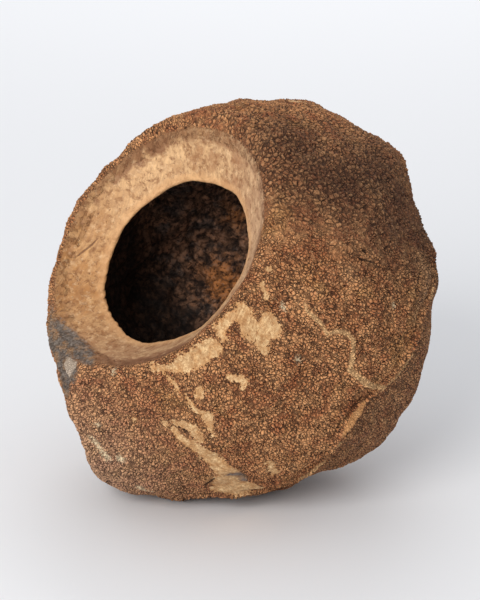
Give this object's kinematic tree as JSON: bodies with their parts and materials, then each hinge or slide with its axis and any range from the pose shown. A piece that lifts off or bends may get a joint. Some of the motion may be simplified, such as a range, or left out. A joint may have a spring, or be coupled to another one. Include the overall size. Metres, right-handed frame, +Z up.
{
  "type": "paradise nut pod",
  "caption": "Empty woody fruit pod with its lid gone, lying on its side, with a bevelled lip round the mouth and crackled cork bark.",
  "frame": {"origin": "on the surface that the pod lies on, under the middle of its bounding box", "axes": "+Z up; the mouth opens towards -Y and about 37 degrees up; +X to the right as seen from the mouth's side"},
  "size_m": [0.1945, 0.1957, 0.1905],
  "materials": {
    "bark": "rough cork bark with bare tan wood at the lip"
  },
  "bodies": {
    "root": {"pod": "bark"}
  },
  "joints": []
}
